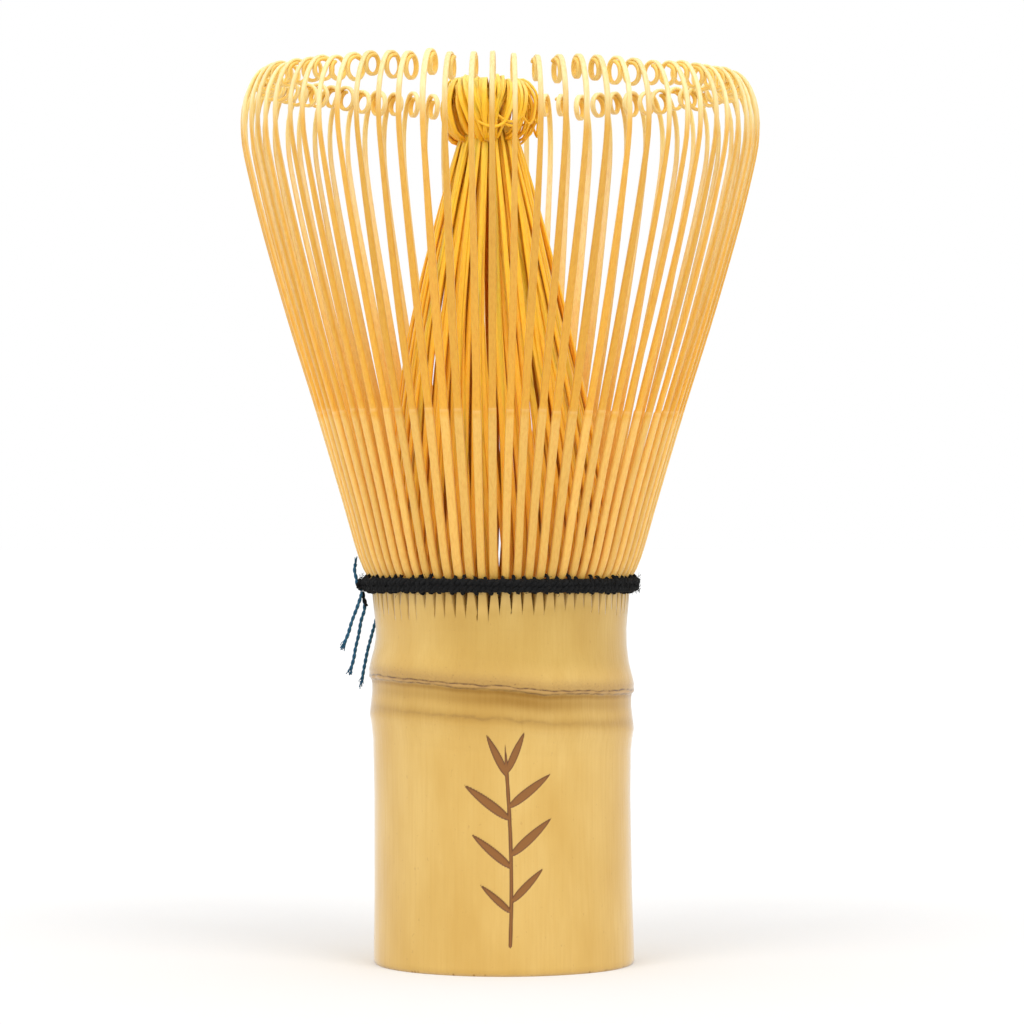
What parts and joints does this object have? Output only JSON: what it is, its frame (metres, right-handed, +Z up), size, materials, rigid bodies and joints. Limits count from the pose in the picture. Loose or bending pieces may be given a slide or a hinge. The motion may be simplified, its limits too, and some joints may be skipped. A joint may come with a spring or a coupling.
{
  "type": "bamboo tea whisk",
  "caption": "Bamboo tea whisk: a hollow culm handle split into a flared ring of curled outer tines round a gathered inner bundle, laced with dark thread.",
  "frame": {"origin": "centre of the flat base, on the surface that the whisk stands on", "axes": "+Z up along the handle towards the tips, -Y towards the front, the thread's knot on the -X side"},
  "size_m": [0.0626, 0.0626, 0.1077],
  "materials": {
    "culm_skin": "satin",
    "outer_tine": "satin",
    "inner_tine": "satin",
    "thread": "matte"
  },
  "bodies": {
    "whisk_body": {"handle": "culm_skin", "inner_tines_01": "inner_tine", "inner_tines_02": "inner_tine", "inner_tines_03": "inner_tine", "inner_tines_04": "inner_tine", "inner_tines_05": "inner_tine", "inner_tines_06": "inner_tine", "inner_tines_07": "inner_tine", "inner_tines_08": "inner_tine", "inner_tines_09": "inner_tine", "inner_tines_10": "inner_tine", "inner_tines_11": "inner_tine", "inner_tines_12": "inner_tine", "inner_tines_13": "inner_tine", "inner_tines_14": "inner_tine", "inner_tines_15": "inner_tine", "inner_tines_16": "inner_tine", "inner_tines_17": "inner_tine", "inner_tines_18": "inner_tine", "inner_tip_curls": "inner_tine", "thread_round_lower": "thread", "thread_round_upper": "thread", "thread_round_inside": "thread", "thread_knot": "thread", "thread_end_up": "thread", "thread_tail_long": "thread", "thread_tail_short": "thread", "thread_tail_doubled": "thread"},
    "outer_stave_01": {"outer_tines_01": "outer_tine"},
    "outer_stave_02": {"outer_tines_02": "outer_tine"},
    "outer_stave_03": {"outer_tines_03": "outer_tine"},
    "outer_stave_04": {"outer_tines_04": "outer_tine"},
    "outer_stave_05": {"outer_tines_05": "outer_tine"},
    "outer_stave_06": {"outer_tines_06": "outer_tine"},
    "outer_stave_07": {"outer_tines_07": "outer_tine"},
    "outer_stave_08": {"outer_tines_08": "outer_tine"},
    "outer_stave_09": {"outer_tines_09": "outer_tine"},
    "outer_stave_10": {"outer_tines_10": "outer_tine"},
    "outer_stave_11": {"outer_tines_11": "outer_tine"},
    "outer_stave_12": {"outer_tines_12": "outer_tine"},
    "outer_stave_13": {"outer_tines_13": "outer_tine"},
    "outer_stave_14": {"outer_tines_14": "outer_tine"},
    "outer_stave_15": {"outer_tines_15": "outer_tine"},
    "outer_stave_16": {"outer_tines_16": "outer_tine"},
    "outer_stave_17": {"outer_tines_17": "outer_tine"},
    "outer_stave_18": {"outer_tines_18": "outer_tine"}
  },
  "joints": [
    {"name": "outer_flex_01", "type": "hinge", "parent": "whisk_body", "child": "outer_stave_01", "pos_m": [0.015, 0, 0.0453], "axis": [0, 1, 0], "range_deg": [-3.5, 5], "stiffness_Nm_per_rad": 0.02},
    {"name": "outer_flex_02", "type": "hinge", "parent": "whisk_body", "child": "outer_stave_02", "pos_m": [0.01409, 0.00513, 0.0453], "axis": [-0.342, 0.9397, 0], "range_deg": [-3.5, 5], "stiffness_Nm_per_rad": 0.02},
    {"name": "outer_flex_03", "type": "hinge", "parent": "whisk_body", "child": "outer_stave_03", "pos_m": [0.01149, 0.00964, 0.0453], "axis": [-0.6428, 0.766, 0], "range_deg": [-3.5, 5], "stiffness_Nm_per_rad": 0.02},
    {"name": "outer_flex_04", "type": "hinge", "parent": "whisk_body", "child": "outer_stave_04", "pos_m": [0.0075, 0.01299, 0.0453], "axis": [-0.866, 0.5, 0], "range_deg": [-3.5, 5], "stiffness_Nm_per_rad": 0.02},
    {"name": "outer_flex_05", "type": "hinge", "parent": "whisk_body", "child": "outer_stave_05", "pos_m": [0.00261, 0.01477, 0.0453], "axis": [-0.9848, 0.1736, 0], "range_deg": [-3.5, 5], "stiffness_Nm_per_rad": 0.02},
    {"name": "outer_flex_06", "type": "hinge", "parent": "whisk_body", "child": "outer_stave_06", "pos_m": [-0.00261, 0.01477, 0.0453], "axis": [-0.9848, -0.1736, 0], "range_deg": [-3.5, 5], "stiffness_Nm_per_rad": 0.02},
    {"name": "outer_flex_07", "type": "hinge", "parent": "whisk_body", "child": "outer_stave_07", "pos_m": [-0.0075, 0.01299, 0.0453], "axis": [-0.866, -0.5, 0], "range_deg": [-3.5, 5], "stiffness_Nm_per_rad": 0.02},
    {"name": "outer_flex_08", "type": "hinge", "parent": "whisk_body", "child": "outer_stave_08", "pos_m": [-0.01149, 0.00964, 0.0453], "axis": [-0.6428, -0.766, 0], "range_deg": [-3.5, 5], "stiffness_Nm_per_rad": 0.02},
    {"name": "outer_flex_09", "type": "hinge", "parent": "whisk_body", "child": "outer_stave_09", "pos_m": [-0.01409, 0.00513, 0.0453], "axis": [-0.342, -0.9397, 0], "range_deg": [-3.5, 5], "stiffness_Nm_per_rad": 0.02},
    {"name": "outer_flex_10", "type": "hinge", "parent": "whisk_body", "child": "outer_stave_10", "pos_m": [-0.015, 0, 0.0453], "axis": [0, -1, 0], "range_deg": [-3.5, 5], "stiffness_Nm_per_rad": 0.02},
    {"name": "outer_flex_11", "type": "hinge", "parent": "whisk_body", "child": "outer_stave_11", "pos_m": [-0.01409, -0.00513, 0.0453], "axis": [0.342, -0.9397, 0], "range_deg": [-3.5, 5], "stiffness_Nm_per_rad": 0.02},
    {"name": "outer_flex_12", "type": "hinge", "parent": "whisk_body", "child": "outer_stave_12", "pos_m": [-0.01149, -0.00964, 0.0453], "axis": [0.6428, -0.766, 0], "range_deg": [-3.5, 5], "stiffness_Nm_per_rad": 0.02},
    {"name": "outer_flex_13", "type": "hinge", "parent": "whisk_body", "child": "outer_stave_13", "pos_m": [-0.0075, -0.01299, 0.0453], "axis": [0.866, -0.5, 0], "range_deg": [-3.5, 5], "stiffness_Nm_per_rad": 0.02},
    {"name": "outer_flex_14", "type": "hinge", "parent": "whisk_body", "child": "outer_stave_14", "pos_m": [-0.00261, -0.01477, 0.0453], "axis": [0.9848, -0.1736, 0], "range_deg": [-3.5, 5], "stiffness_Nm_per_rad": 0.02},
    {"name": "outer_flex_15", "type": "hinge", "parent": "whisk_body", "child": "outer_stave_15", "pos_m": [0.00261, -0.01477, 0.0453], "axis": [0.9848, 0.1736, 0], "range_deg": [-3.5, 5], "stiffness_Nm_per_rad": 0.02},
    {"name": "outer_flex_16", "type": "hinge", "parent": "whisk_body", "child": "outer_stave_16", "pos_m": [0.0075, -0.01299, 0.0453], "axis": [0.866, 0.5, 0], "range_deg": [-3.5, 5], "stiffness_Nm_per_rad": 0.02},
    {"name": "outer_flex_17", "type": "hinge", "parent": "whisk_body", "child": "outer_stave_17", "pos_m": [0.01149, -0.00964, 0.0453], "axis": [0.6428, 0.766, 0], "range_deg": [-3.5, 5], "stiffness_Nm_per_rad": 0.02},
    {"name": "outer_flex_18", "type": "hinge", "parent": "whisk_body", "child": "outer_stave_18", "pos_m": [0.01409, -0.00513, 0.0453], "axis": [0.342, 0.9397, 0], "range_deg": [-3.5, 5], "stiffness_Nm_per_rad": 0.02}
  ]
}
